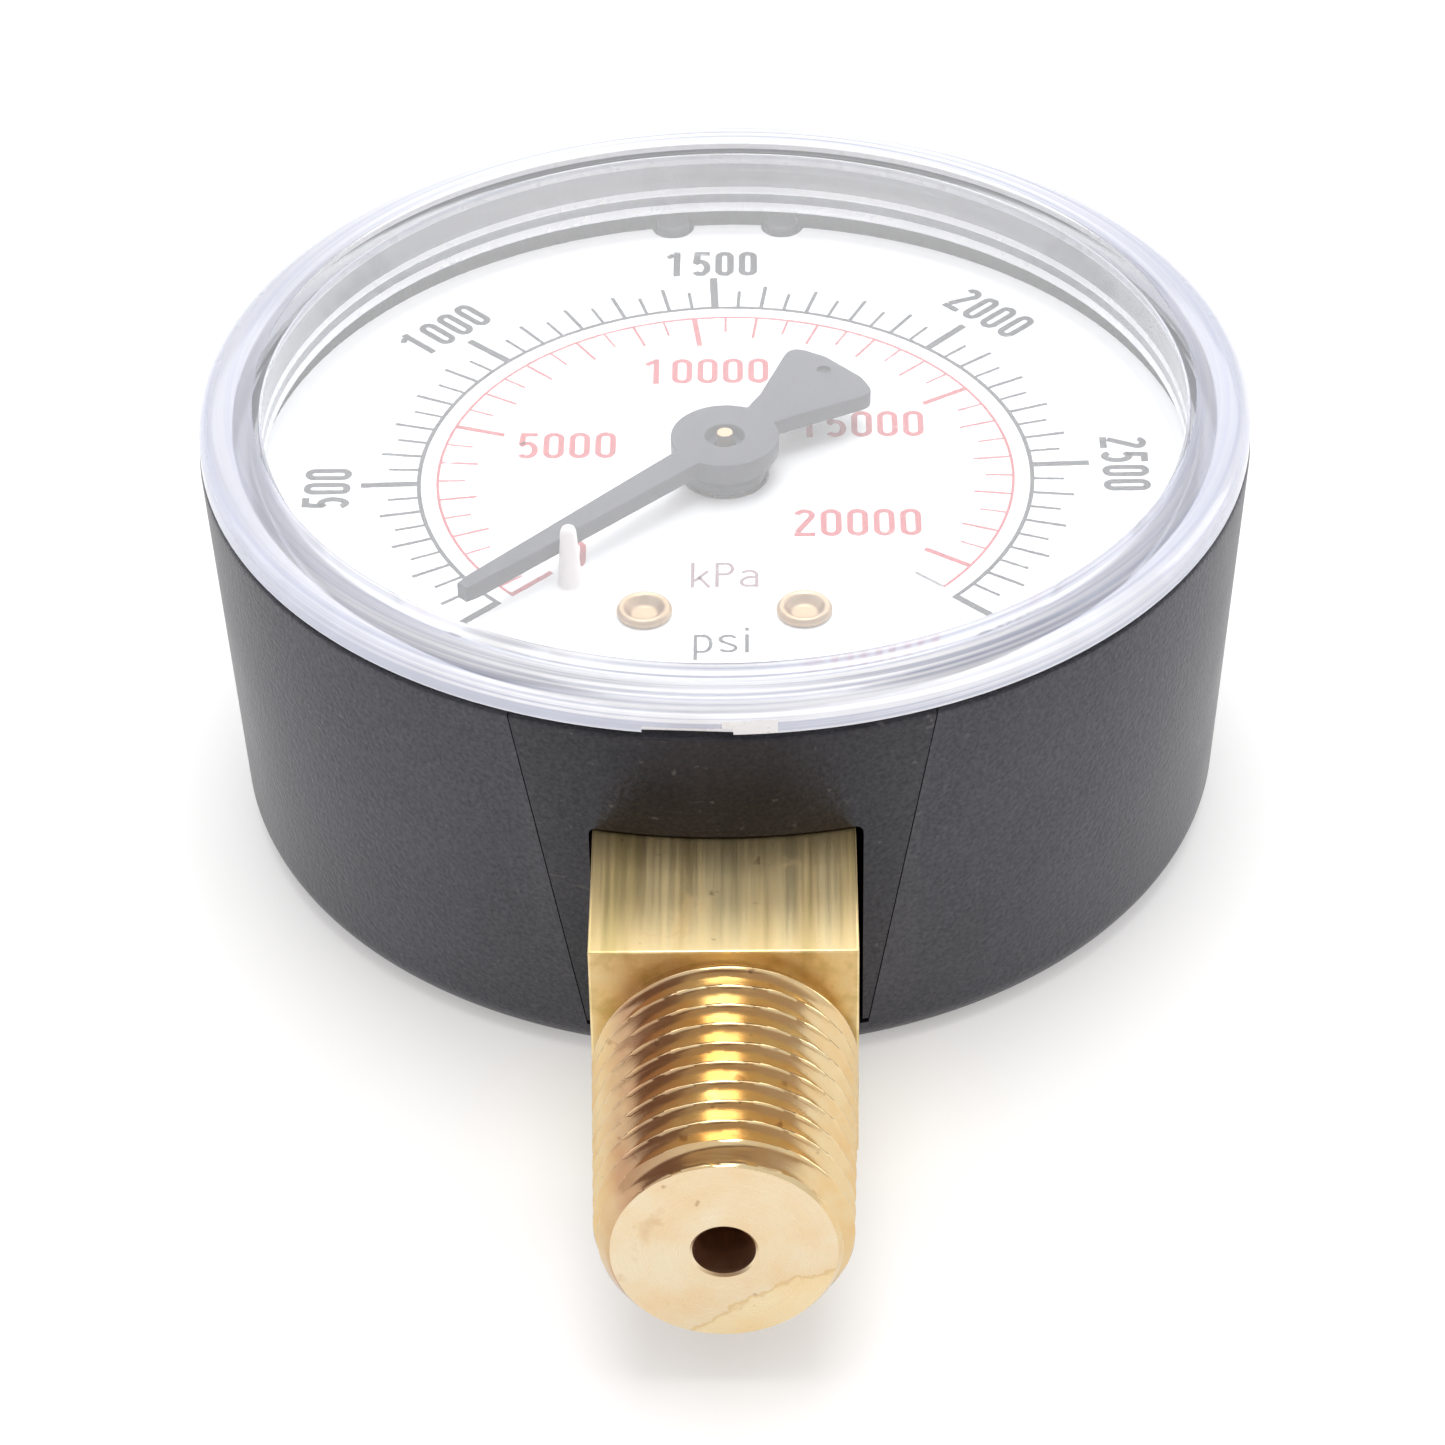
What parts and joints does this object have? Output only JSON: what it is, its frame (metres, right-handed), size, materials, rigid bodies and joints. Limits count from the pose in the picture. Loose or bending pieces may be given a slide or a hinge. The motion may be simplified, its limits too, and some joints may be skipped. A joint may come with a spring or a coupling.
{
  "type": "pressure gauge",
  "caption": "Round dial pressure gauge: black plastic case, clear snap-in lens, pointer on a sprung gear movement, and a threaded brass bottom stem with wrench flats.",
  "frame": {"origin": "middle of the case's flat back, on the pointer's axis", "axes": "+Z along the pointer's axis, out of the dial; the stem points along -Y; +X is to the right for a reader of the dial"},
  "size_m": [0.0596, 0.0833, 0.026],
  "materials": {
    "abs_black": "fine-grained black ABS",
    "clear_polycarbonate": "clear moulded polycarbonate",
    "dial_white": "satin white plastic",
    "pointer_black": "moulded black plastic",
    "brass": "machined brass",
    "bronze": "drawn phosphor bronze",
    "steel": "turned steel"
  },
  "bodies": {
    "frame": {"case": "abs_black", "stem_wedge": "abs_black", "lens": "clear_polycarbonate", "dial": "dial_white", "dial_eyelet_left": "brass", "dial_eyelet_right": "brass", "dial_spacer_left": "brass", "dial_spacer_right": "brass", "socket": "brass", "movement_bottom_plate": "brass", "movement_top_plate": "brass", "pillar_1": "brass", "pillar_2": "brass", "pillar_3": "brass", "pillar_screw_1": "steel", "pillar_screw_2": "steel", "pillar_screw_3": "steel", "mount_screw_1": "steel", "mount_screw_2": "steel", "hairspring_stud": "brass", "hairspring": "bronze", "bourdon_tube": "bronze"},
    "pinion": {"pinion_arbor": "brass", "pointer": "pointer_black", "pointer_bushing": "pointer_black", "hairspring_collet": "brass"},
    "sector": {"sector_gear": "brass", "sector_arbor": "steel", "link_pin_sector": "brass"},
    "link": {"link": "steel"},
    "tube_tip": {"tube_tip": "brass", "link_pin_tip": "brass"}
  },
  "joints": [
    {"name": "sector_swing", "type": "hinge", "parent": "frame", "child": "sector", "pos_m": [-0.00885, 0, 0.0128], "axis": [0, 0, 1], "range_deg": [0, 45]},
    {"name": "pointer_spin", "type": "hinge", "parent": "frame", "child": "pinion", "pos_m": [0, 0, 0.0128], "axis": [0, 0, -1], "range_deg": [0, 270], "deforming": ["hairspring"]},
    {"name": "link_swing", "type": "hinge", "parent": "sector", "child": "link", "pos_m": [-0.01106, 0.00093, 0.0116], "axis": [0, 0, -1], "range_deg": [0, 35.58]},
    {"name": "tube_uncoil", "type": "hinge", "parent": "frame", "child": "tube_tip", "pos_m": [0, 0, 0.0121], "axis": [0, 0, 1], "range_deg": [0, 9.51], "deforming": ["bourdon_tube"]}
  ],
  "couplings": [
    {"joint": "pointer_spin", "follows": "sector_swing", "ratio": 6},
    {"joint": "link_swing", "follows": "sector_swing", "ratio": 0.79067},
    {"joint": "tube_uncoil", "follows": "sector_swing", "ratio": 0.21133}
  ]
}
